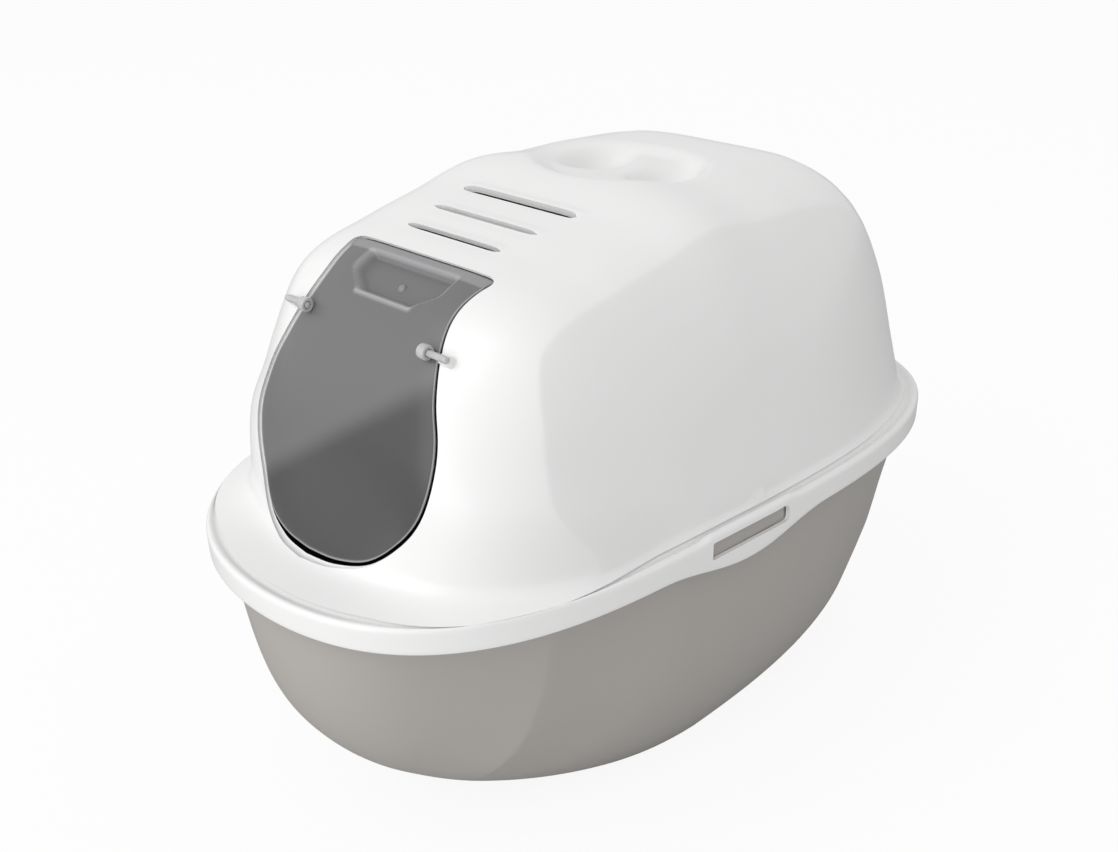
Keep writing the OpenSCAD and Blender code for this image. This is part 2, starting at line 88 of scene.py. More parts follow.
def rimAt(t, side, inset):
    # plan outline of the rim: superellipse widened towards the rear, its front bowed back at the corners
    n = np.where(side < 0, box["frontPower"], box["rearPower"])
    along, across = rounded(t, n)
    x = (box["halfWidth"] * (1 + box["rearWidening"] * side * along) - inset) * across
    y = side * (box["halfLength"] - inset) * along
    return x, y + np.where(side < 0, box["frontBow"] * x * x * along, 0)


def rimRing(t, side, inset, z):
    # one level line of the rim
    x, y = rimAt(t, side, inset)
    return np.stack([x, y, z + 0 * x], -1)


def domePower(a):
    # corner sharpness of the hood: front and rear values at the foot blend to the roof's value overhead
    return box["roofPower"] * np.sin(a) ** 2 + np.cos(a) ** 2 * np.where(
        np.cos(a) > 0, box["frontPower"], box["rearPower"])


def domeWidth(y, z, inset):
    # half width of the hood: the rim's, less the ledge, leaning in with height
    return box["halfWidth"] * (1 + box["rearWidening"] * y / box["halfLength"]) - box["ledgeWidth"] \
        - inset - box["lean"] * (z - box["ledgeZ"])


def creaseShape(offset, reach, flat, roundness):
    # a soft-topped ridge, (1 - distance / reach)^2, lowered by a broad bell so that the form beside it
    # goes flat; all four are degrees of plan angle
    away = np.sqrt(offset ** 2 + roundness ** 2)
    return np.clip(1 - away / reach, 0, 1) ** 2 - 0.5 * bell(offset / flat)


def cornerKick(t):
    # 1 at the front corners of the plan, falling to 0 at the doorway and at the sides
    return bell((np.degrees(np.abs(t)) - crease["kickPlace"]) / crease["kickReach"])


def creaseAt(a, t):
    # share by which the hood swells at the crease round its side panels and at its front corners' foot
    degrees = np.degrees(a)
    place, height = (np.interp(degrees, crease["angles"], crease[k]) for k in ("places", "heights"))
    ridge = creaseShape(np.degrees(np.abs(t)) - place, crease["reach"], crease["flat"], crease["round"])
    sweep = curveAt(crease["kicks"], np.clip(degrees / 5, 0, 8)) / crease["stretch"] * cornerKick(t)
    return (height * ridge + sweep) / crease["radius"]


def domeAt(a, t, inset):
    # hood surface: profile radius at angle a spread sideways along a superellipse at angle t, its
    # front bowed back at the corners near the foot
    along, across = rounded(t, domePower(a))
    swell = 1 + creaseAt(a, t)
    along, across = along * swell, across * swell
    r = curveAt(hoodRadii, np.degrees(a) / 15) - inset
    y = -r * np.cos(a) * along
    z = box["ledgeZ"] + r * np.sin(a) * along
    x = domeWidth(y, z, inset) * across
    bow = box["frontBow"] * (1 - soft(np.degrees(a) / box["bowAngle"])) * x * x * along
    return np.stack([x, y + bow, z], -1)


# Crease of the hood: plan places in degrees and heights in mm on the given radius, by hood angle. The
# kicks are the outward sweep of the front corners in mm, every 5 degrees up from the foot, and stretch
# is a corner's distance over that radius.
crease = {"angles": [0, 15, 32, 43, 123, 150, 180], "places": [54, 52, 48, 44, 43, 44, 46],
          "heights": [3.6, 5.2, 5.4, 5.2, 4.6, 3.0, 1.5], "radius": 160.0, "reach": 17.0, "flat": 25.5,
          "round": 0.35, "kick": 9.5, "kicks": [9.5, 13.0, 11.0, 5.5, -0.5, -3.5, -3.0, -2.0, -1.0],
          "kickPlace": 46.0, "kickReach": 21.0, "stretch": 1.66}


def sideAngle(a, x):
    # the angle t at which the hood surface has the sideways place x, found by repeated substitution
    n = domePower(a)
    r = curveAt(hoodRadii, np.degrees(a) / 15)
    along = np.full(np.broadcast(a, x).shape, 0.98)
    for turn in range(6):
        width = domeWidth(-r * np.cos(a) * along, box["ledgeZ"] + r * np.sin(a) * along, 0.0)
        across = np.clip(np.abs(x) / width, 0, 0.9995)
        along = (1 - across ** n) ** (1 / n)
    return np.sign(x) * np.arctan2(across, along)


def foldFoot(p, a, t, inset, filletWidth, filletHeight):
    # near the ledge the front sweeps outward with a high power of what is left of the height, which
    # makes the threshold, and the foot all round with its square, a small fillet
    h = p[..., 2] - box["ledgeZ"]
    front = a < math.pi / 2
    foot = domeAt(np.where(front, 0.0, math.pi), t, inset)
    side = np.where(front, -1, 1)
    kick = crease["kick"] * cornerKick(t) * front
    ledge = box["ledgeWidth"] - kick + inset
    ex, ey = rimAt(t, side, ledge)
    rise = np.clip((h + 0.9 * inset) / box["flareHeight"], 0, 1)
    u = (1 - rise) ** box["flarePower"] * front
    fx, fy = rimAt(t, side, ledge - np.minimum(filletWidth, box["ledgeWidth"] - 1 - kick))
    w = (1 - np.clip(h / filletHeight, 0, 1)) ** 2
    q = p.copy()
    q[..., 0] += u * (ex - foot[..., 0]) + w * (fx - ex)
    q[..., 1] += u * (ey - foot[..., 1]) + w * (fy - ey)
    return q


class Shell:
    # gathers points and faces of one piece before it becomes a mesh
    def __init__(self):
        self.points, self.faces, self.marks, self.count = [], [], [], 0

    def add(self, points, mark=0.0):
        # appends an array of points of any shape and gives back their numbers in that shape
        flat = points.reshape(-1, 3)
        self.points.append(flat)
        self.marks.append(np.broadcast_to(np.asarray(mark, float), points.shape[:-1]).reshape(-1))
        numbers = np.arange(self.count, self.count + len(flat)).reshape(points.shape[:-1])
        self.count += len(flat)
        return numbers

    def grid(self, numbers, keep=None, turned=False):
        # quads of a grid of point numbers, anticlockwise seen from the front unless turned
        a, b, c, d = numbers[:-1, :-1], numbers[:-1, 1:], numbers[1:, 1:], numbers[1:, :-1]
        quads = np.stack([a, d, c, b] if turned else [a, b, c, d], -1)
        if keep is not None:
            quads = quads[keep]
        self.faces.append(quads.reshape(-1, 4))

    def ring(self, lower, upper, turned=False):
        # quads between two closed rings
        numbers = np.stack([np.append(lower, lower[0]), np.append(upper, upper[0])])
        self.grid(numbers, turned=turned)

    def tube(self, points, mark=0.0, turned=False, capped=True):
        # rings of points joined in order; capped draws the first and the last together to a point
        numbers = self.add(points, mark)
        if capped:
            numbers[0], numbers[-1] = numbers[0][0], numbers[-1][0]
        for low, high in zip(numbers[:-1], numbers[1:]):
            self.ring(low, high, turned)
        return numbers

    def build(self, name, smoothAngle=None):
        # makes the object, dropping doubled corners and unused points
        points, marks = np.concatenate(self.points), np.concatenate(self.marks)
        first, same = np.unique(np.round(points, 4), axis=0, return_index=True, return_inverse=True)[1:]
        quads = same.reshape(-1)[np.concatenate(self.faces)]
        quads = quads[(quads[:, 0] != quads[:, 2]) & (quads[:, 1] != quads[:, 3])]
        doubled = quads == np.roll(quads, -1, axis=1)
        one = doubled.sum(1) == 1
        four, three = quads[doubled.sum(1) == 0], quads[one][~doubled[one]].reshape(-1, 3)
        corners = np.concatenate([four.reshape(-1), three.reshape(-1)])
        used, corners = np.unique(corners, return_inverse=True)
        mesh = bpy.data.meshes.new(name)
        mesh.vertices.add(len(used))
        mesh.vertices.foreach_set("co", (points[first[used]] * mm).reshape(-1))
        mesh.loops.add(len(corners))
        mesh.loops.foreach_set("vertex_index", corners)
        mesh.polygons.add(len(four) + len(three))
        starts = np.concatenate([np.arange(len(four)) * 4, four.size + np.arange(len(three)) * 3])
        mesh.polygons.foreach_set("loop_start", starts)
        mesh.polygons.foreach_set("use_smooth", np.ones(len(starts), bool))
        # per point share of painted highlight, read by the smoky flap's material
        mark = mesh.attributes.new("mark", "FLOAT", "POINT")
        mark.data.foreach_set("value", marks[first[used]])
        mesh.update(calc_edges=True)
        if smoothAngle:
            mesh.set_sharp_from_angle(angle=math.radians(smoothAngle))
        piece = bpy.data.objects.new(name, mesh)
        scene.collection.objects.link(piece)
        print("made", name, len(four) * 2 + len(three), "triangles")
        return piece


class Wire:
    # a shader socket whose arithmetic adds Math nodes
    def __init__(self, tree, socket):
        self.tree, self.socket = tree, socket

    def maths(self, operation, first, second):
        return addNode(self.tree, "ShaderNodeMath", {"operation": operation}, {0: first, 1: second})

    def __add__(self, other):
        return self.maths("ADD", self, other)

    def __sub__(self, other):
        return self.maths("SUBTRACT", self, other)

    def __mul__(self, other):
        return self.maths("MULTIPLY", self, other)

    def __rsub__(self, other):
        return self.maths("SUBTRACT", other, self)

    __radd__ = __add__
    __rmul__ = __mul__


def addNode(tree, kind, settings=None, values=None, out=0):
    # one node: its settings first, then the values or links of its sockets
    node = tree.nodes.new(kind)
    for name, value in (settings or {}).items():
        setattr(node, name, value)
    for name, value in (values or {}).items():
        if isinstance(value, Wire):
            tree.links.new(value.socket, node.inputs[name])
        else:
            node.inputs[name].default_value = value
    return Wire(tree, node.outputs[out])


def mixColours(tree, share, first, second):
    # colour between two colours
    return addNode(tree, "ShaderNodeMix", {"data_type": "RGBA"}, {0: share, 6: first, 7: second}, out=2)


def noiseAt(place, scale, detail, roughness=0.5):
    # noise texture read at a place
    return addNode(place.tree, "ShaderNodeTexNoise", None, {
        "Vector": place, "Scale": scale, "Detail": detail, "Roughness": roughness})


def bumpOf(height, strength, distance=0.001):
    # surface direction bent by a height
    return addNode(height.tree, "ShaderNodeBump", None, {
        "Strength": strength, "Distance": distance, "Height": height})


def newMaterial(name):
    # an empty material, its node tree and its Object coordinates
    material = bpy.data.materials.new(name)
    material.use_nodes = True
    tree = material.node_tree
    tree.nodes.clear()
    return material, tree, addNode(tree, "ShaderNodeTexCoord", out=3)


def finishMaterial(tree, shader, kind="ShaderNodeOutputMaterial"):
    # joins a shader to the output
    output = tree.nodes.new(kind)
    tree.links.new(shader.socket, output.inputs["Surface"])


def principled(material, tree, values):
    # ends a material with one Principled shader
    finishMaterial(tree, addNode(tree, "ShaderNodeBsdfPrincipled", None, values))
    return material


def mouldedPlastic(s):
    # moulded plastic: faint cloudy colour, a fine grain in the gloss and low waves in the surface
    material, tree, place = newMaterial(s["name"])
    cloud = noiseAt(place, s["cloudScale"], 3.0)
    grain = noiseAt(place, s["grainScale"], 2.0, 0.6)
    wave = noiseAt(place, s["waveScale"], 1.0, 0.4)
    speck = addNode(tree, "ShaderNodeTexVoronoi", None, {"Vector": place, "Scale": s["speckScale"]})
    dust = addNode(tree, "ShaderNodeMapRange", None, {
        "Value": speck, "From Min": 0.0, "From Max": 0.09, "To Min": s["speckShare"], "To Max": 0.0})
    colour = mixColours(tree, cloud, s["colour"], s["cloudColour"])
    colour = mixColours(tree, dust, colour, s["speckColour"])
    rough = s["rough"] + (grain - 0.5) * s["roughSpread"] + (cloud - 0.5) * (0.5 * s["roughSpread"])
    return principled(material, tree, {
        "Base Color": colour, "Roughness": rough, "IOR": 1.49, "Coat Weight": s["coat"],
        "Coat Roughness": s["coatRough"],
        "Normal": bumpOf(grain * s["grainHeight"] + wave * s["waveHeight"], s["bump"])})


hoodPlasticLook = {
    "name": "whitePlastic", "colour": (0.86, 0.86, 0.855, 1), "cloudColour": (0.84, 0.84, 0.835, 1),
    "cloudScale": 9.0, "speckColour": (0.60, 0.59, 0.57, 1), "speckScale": 160.0, "speckShare": 0.12,
    "rough": 0.34, "roughSpread": 0.10, "grainScale": 1500.0, "grainHeight": 0.02, "waveScale": 26.0,
    "waveHeight": 0.05, "bump": 0.25, "coat": 0.12, "coatRough": 0.22}
trayPlasticLook = {
    "name": "taupePlastic", "colour": (0.430, 0.411, 0.388, 1), "cloudColour": (0.410, 0.392, 0.370, 1),
    "cloudScale": 8.0, "speckColour": (0.50, 0.48, 0.46, 1), "speckScale": 220.0, "speckShare": 0.16,
    "rough": 0.42, "roughSpread": 0.12, "grainScale": 1300.0, "grainHeight": 0.035, "waveScale": 22.0,
    "waveHeight": 0.05, "bump": 0.3, "coat": 0.05, "coatRough": 0.3}
coverPlasticLook = dict(trayPlasticLook, name="coverPlastic", colour=(0.62, 0.62, 0.61, 1),
                        cloudColour=(0.58, 0.58, 0.57, 1), rough=0.45)


def smokyPlastic():
    # smoky see-through sheet: painted highlight where its edges and ridges are marked, which also makes
    # them less see-through and rougher; painted light above a slanting line across the flap, painted shade
    # below it; a little scuffed
    s = flapLook
    material, tree, place = newMaterial("smokyPlastic")
    # share of painted highlight on the sheet's edges and ridges, as if they caught the light
    mark = addNode(tree, "ShaderNodeAttribute", {"attribute_name": "mark"}, out=2)
    # painted light above a slanting line across the flap and painted shade below it, found from the place's
    # distance along a slanting direction
    paintedLightSlant = addNode(tree, "ShaderNodeVectorMath", {"operation": "DOT_PRODUCT"},
                    {0: place, 1: s["paintedLightSlant"]}, out=1)
    upper = addNode(tree, "ShaderNodeMapRange", {"interpolation_type": "SMOOTHSTEP"}, {
        "Value": paintedLightSlant, "From Min": s["paintedLightFrom"], "From Max": s["paintedLightTo"], "To Min": 0.0,
        "To Max": 1.0})
    haze, scuff = noiseAt(place, 7.0, 3.0), noiseAt(place, 420.0, 3.0)
    colour = mixColours(tree, haze, s["colour"], s["hazeColour"])
    # the lighter colour above the slanting line is painted light
    colour = mixColours(tree, upper, colour, s["paintedLightColour"])
    # edges and ridges take a lighter colour: a painted highlight
    colour = mixColours(tree, mark, colour, s["edgeHighlightColour"])
    alpha = s["alpha"] + mark * (1 - s["alpha"]) * 0.9 + (haze - 0.5) * 0.04
    rough = s["rough"] + (scuff - 0.5) * 0.08 + mark * 0.12
    return principled(material, tree, {
        "Base Color": colour, "Roughness": rough, "Alpha": alpha, "Normal": bumpOf(haze, 0.1),
        "IOR": 1.49})


# flap colours: plain smoky sheet and its random haze, painted light above the slanting line, painted
# highlight on edges and ridges
flapLook = {"colour": (0.084, 0.084, 0.087, 1), "hazeColour": (0.094, 0.094, 0.097, 1),
            "paintedLightColour": (0.19, 0.19, 0.193, 1), "edgeHighlightColour": (0.45, 0.45, 0.46, 1), "alpha": 0.84,
            "rough": 0.32, "paintedLightSlant": (-0.66, 0.0, 1.0), "paintedLightFrom": 0.268, "paintedLightTo": 0.288}


def clearPlastic():
    # greyish clear plastic of the pins and eyes
    material, tree, place = newMaterial("clearPlastic")
    haze = noiseAt(place, 160.0, 2.0)
    colour = mixColours(tree, haze, (0.50, 0.50, 0.50, 1), (0.62, 0.62, 0.62, 1))
    return principled(material, tree, {
        "Base Color": colour, "Roughness": 0.16 + haze * 0.1, "Alpha": 0.82 + haze * 0.12, "IOR": 1.49,
        "Coat Weight": 0.3})


def carbonFelt():
    # black felt: crossed fine fibres in colour and bump
    material, tree, place = newMaterial("carbonFelt")
    fibres = [noiseAt(addNode(tree, "ShaderNodeMapping", None, {"Vector": place, "Scale": scale}), 1.0, 4.0)
              for scale in ((900.0, 160.0, 400.0), (160.0, 900.0, 400.0))]
    fibre = (fibres[0] + fibres[1]) * 0.5
    colour = mixColours(tree, fibre, (0.008, 0.008, 0.009, 1), (0.05, 0.05, 0.052, 1))
    return principled(material, tree, {
        "Base Color": colour, "Roughness": 0.95, "Normal": bumpOf(fibre, 0.8, 0.0006),
        "Sheen Weight": 0.3})


whitePlastic = mouldedPlastic(hoodPlasticLook)
taupePlastic = mouldedPlastic(trayPlasticLook)
coverPlastic = mouldedPlastic(coverPlasticLook)
smoky, clear, felt = smokyPlastic(), clearPlastic(), carbonFelt()
print("materials made")


def dress(piece, material, body, slot, *nodes):
    # gives a new piece its material and its place among the CAD bodies and nodes
    piece.data.materials.append(material)
    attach(piece, body)
    if nodes:
        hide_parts(*nodes)


# Each roof slot: place along Y, half length, width. Corner columns run from the doorway to the crease
# and panel columns from there to the side.
hood = {"cornerColumns": 23, "panelColumns": 34, "middleColumns": 64, "lowerRows": 34, "doorRows": 34,
        "roofRows": 96, "filletWidth": 3.0, "filletHeight": 4.5, "lipSteps": 7, "cornerRadius": 9.0,
        "rowBreaks": [53, 84, 124, 172], "rowWeights": [1.35, 1.85, 1.45, 0.55, 1.05], "doorLip": -1.2,
        "slotLip": -0.15, "windowLip": 0.2,
        "slots": [(-104.0, 39.5, 3.2), (-78.5, 43.5, 3.4), (-49.5, 49.0, 6.4)], "slotRadius": 185.0,
        "dish": {"halfWidth": 66.0, "halfLength": 56.0, "y": 46.0, "depth": 6.0, "hollowDepth": 19.0,
                 "hollowX": 31.0, "hollowHalfX": 25.0, "hollowHalfY": 36.0, "hollowBack": 13.0}}
latch = {"windowLength": 70.0, "windowHeight": 12.0, "y": -20.0, "middleZ": 197.5, "bulgeDepth": 11.0,
         "bulgeHalfLength": 76.0, "gap": 1.5, "outer": -2.8, "lift": 2.0, "top": 202.75, "low": 190.46,
         "flatX": 140.0, "upperCorners": (4.5, 1.2), "lowerCorners": (2.5, 1.2), "bevel": 1.1,
         "pivotIn": 2.5, "pivotShare": 0.44, "tabHalf": (1.49, 19.3),
         "barrel": [(0.001, -23.5), (2.1, -23.5), (2.5, -23.1), (2.5, 23.1), (2.1, 23.5), (0.001, 23.5)],
         "power": 14.0, "rings": [(0.001, 0), (0.3, 0), (0.55, 0), (0.75, 0), (0.88, 0), (0.95, 0.06),
                                  (0.985, 0.25), (1.0, 0.6), (1.0, 2.4), (0.985, 2.8), (0.95, 3.0),
                                  (0.5, 3.0), (0.001, 3.0)]}


def dishDrop(x, y):
    # depth of the handle's dish: a shallow bowl with a firm edge, and two hollows beside the grip bar
    d = hood["dish"]
    r = np.hypot(x / d["halfWidth"], (y - d["y"]) / d["halfLength"])
    h = np.hypot((np.abs(x) - d["hollowX"]) / d["hollowHalfX"],
                 (y - d["y"] - d["hollowBack"]) / d["hollowHalfY"])
    return d["depth"] * soft((1 - r) / 0.25) * (1 - 0.5 * soft((np.abs(x) - 30) / 30)) \
        + (d["hollowDepth"] - d["depth"]) * soft((1 - h) / 0.8) * soft((1 - r) / 0.3)


def roofAngleAt(y):
    # hood angle whose profile point lies at y on the middle line
    a = np.linspace(0, math.pi, 4001)
    return np.interp(y, -curveAt(hoodRadii, np.degrees(a) / 15) * np.cos(a), a)


def slotSpread(x, half, width):
    # half opening of a slot at x, in radians of hood angle: full along its length, rounded at its ends
    v = np.clip(np.abs(x) / half, 0, 1)
    return width / 2 * np.sqrt(1 - v ** 14) / hood["slotRadius"]


def hoodSkin(a, t, inset):
    # hood surface with its dish pressed in and, at each slot, a raised strip behind, a slight dip
    # before and, inside, a thicker rear edge
    p = foldFoot(domeAt(a, t, inset), a, t, inset, hood["filletWidth"], hood["filletHeight"])
    for y, half, width in hood["slots"]:
        behind = p[..., 1] - y
        past = behind - width / 2
        reach = soft((half + 5 - np.abs(p[..., 0])) / 8)
        p[..., 2] += reach * (0.9 * bell((past - 1.5) / 4.5) - 0.4 * bell((behind + 3.5) / 4))
        if inset > 0:
            p[..., 2] -= reach * 1.8 * bell(past / 3.5)
    p[..., 2] -= np.where(a > math.radians(70), dishDrop(p[..., 0], p[..., 1]), 0)
    return p


def roundCorner(a, x, cornerA, cornerX, radius):
    # bends the doorway's square top corner into a quarter arc: places along either edge go to the arc
    # by their distance from the corner, and the grid beside them follows with a falling share
    up = (a - cornerA) * box["degreeMm"]
    out = np.abs(x) - cornerX
    onSide, onTop = np.clip(-up / radius, 0, 1), np.clip(-out / radius, 0, 1)
    turn = (1 - onSide) * math.pi / 4
    keep = radius * np.exp(-np.abs(out) / 6) * (-up < radius)
    moveOut, moveUp = keep * (np.cos(turn) - 1), keep * (np.sin(turn) - 1 + onSide)
    turn = (1 + onTop) * math.pi / 4
    keep = radius * np.exp(-(np.abs(up) + np.clip(out, 0, None)) / 6) * (-out < radius)
    corner = math.cos(math.pi / 4) - 1
    beyond = up >= -1e-6
    moveOut = np.where(beyond, keep * np.where(out > 0, corner, np.cos(turn) - 1 + onTop), moveOut)
    moveUp = np.where(beyond, keep * np.where(out > 0, corner, np.sin(turn) - 1), moveUp)
    return a + moveUp / box["degreeMm"], x + np.sign(x) * moveOut


def rimX(y):
    # sideways place of the rim's face at y, found by repeated substitution
    x = box["halfWidth"]
    side, n = (-1, box["frontPower"]) if y < 0 else (1, box["rearPower"])
    for turn in range(4):
        q = abs(y) / (box["halfLength"] - (box["frontBow"] * x * x if y < 0 else 0))
        x = box["halfWidth"] * (1 + box["rearWidening"] * side * q) * (1 - q ** n) ** (1 / n)
    return x


def windowEdge(y, radius):
    # half height of the window at y, with a corner of the given radius at each end
    half, tall = latch["windowLength"] / 2, latch["windowHeight"] / 2
    d = half - np.abs(y - latch["y"])
    corner = np.clip(radius - d, 0, radius)
    inside = tall - (radius - np.sqrt(radius ** 2 - corner ** 2))
    return np.where(d >= 0, inside, (tall - radius) * np.clip(1 + d / 14, 0, 1))


def rimRows(t, side):
    # the rim as a list of rings from the hood's foot over the grooved ledge, down the face and back up
    # inside. Over a latch the ledge's bead swells, the face opens and its foot sinks.
    x0, y0 = rimAt(t, side, 0.0)
    past = y0 - latch["y"]
    flat = np.abs(x0) > latch["flatX"]
    lift = latch["lift"] * flat * soft((1.3 - np.abs(past) / (latch["windowLength"] / 2)) / 0.3)
    upper = windowEdge(y0, np.where(past > 0, *latch["upperCorners"])) * flat
    lower = windowEdge(y0, np.where(past > 0, *latch["lowerCorners"])) * flat
    w = np.clip(past / latch["bulgeHalfLength"], -1, 1)
    sink = latch["bulgeDepth"] * flat * np.cos(w * math.pi / 2) ** 2
    opened = flat & (np.abs(past) < latch["windowLength"] / 2 + 0.05)
    rings = []
    # the ledge is narrower where the hood's foot is swept out
    squeeze = 1 - crease["kick"] * cornerKick(t) * (side < 0) / box["ledgeWidth"]

    def put(inset, z):
        rings.append(rimRing(t, side, inset, z))

    top, foot = rim["faceTop"] + lift * 0.6, box["skirtZ"] - sink
    low, high = latch["middleZ"] - lower, latch["middleZ"] + upper
    for inset, z in rim["ledge"]:
        put(inset * squeeze, z + lift * soft((9.5 - inset) / 6))
    for share in rim["shares"][::-1]:
        put(0.0, high + share * (top - high))
    split = len(rings) - 1
    for share in rim["shares"]:
        put(0.0, low - share * (low - foot - 1.2))
    for inset, z in rim["foot"]:
        put(inset, foot + z)
    for share in rim["innerShares"]:
        put(box["wall"], foot + 1.4 + share * (low - foot - 1.4))
    innerSplit = len(rings) - 1
    for share in (0.0, 0.5, 1.0):
        put(box["wall"], high + share * (rim["underZ"] - 0.5 - high))
    for inset in rim["under"]:
        put(box["wall"] + inset * squeeze, rim["underZ"])
    return rings, split, innerSplit, opened


# Section of the rim as insets and heights: the grooved ledge, then the rounded foot of the face.
rim = {"ledge": [(11.6, 206.7), (10.4, 206.1), (9.2, 205.6), (8.0, 205.4), (6.8, 205.5), (5.8, 205.9),
                 (4.9, 206.4), (4.0, 206.8), (3.1, 207.0), (2.2, 206.9), (1.4, 206.5), (0.75, 205.8),
                 (0.3, 204.9), (0.08, 203.9)],
       "foot": [(0.15, 0.7), (0.5, 0.25), (1.0, 0.0), (1.6, 0.05), (2.1, 0.35), (2.4, 0.8), (2.5, 1.4)],
       "shares": (0.0, 0.1, 0.3, 0.6, 1.0), "innerShares": (0.35, 0.7, 1.0), "faceTop": 202.6,
       "under": (0.5, 3.5, 9.5, 12.5), "underZ": 204.5}


def columnShares(rows, edgeT):
    # for every row, shares of the side columns between the doorway's line and the side: closer and
    # closer towards the crease, which keeps one column, with extra ones where a latch window ends
    place = np.radians(np.interp(np.degrees(rows), crease["angles"], crease["places"]))
    crest = (place - edgeT) / (math.pi / 2 - edgeT)
    first, rest = crest[0], 1 - crest[0]
    u, v = (np.arange(1, hood[k] + 1) / hood[k] for k in ("cornerColumns", "panelColumns"))
    plain = np.concatenate([[0], first * (1 - (1 - u) ** 1.6), first + rest * v ** 1.6])
    t = np.linspace(0.8, math.pi / 2, 4000)
    steps = np.array([-3.5, -1.2, -0.02, 0.35, 0.8, 1.5, 2.6, 4.4])
    extra = []
    for side, row in ((-1, 0), (1, -1)):
        y = rimAt(t, side, 0.0)[1]
        order = np.argsort(y)
        ends = latch["y"] + side * (latch["windowLength"] / 2 - steps)
        share = (np.interp(ends, y[order], t[order]) - edgeT[row]) / (math.pi / 2 - edgeT[row])
        extra.append(first + rest * (share - crest[row]) / (1 - crest[row]))
    extra = np.concatenate(extra)
    keep = np.abs(plain[:, None] - extra).min(1) > 0.004
    keep[[0, -1]] = True
    f = np.sort(np.concatenate([plain[keep], extra]))
    crest = crest[:, None]
    return np.where(f <= first, f / first * crest, crest + (f - first) / rest * (1 - crest))


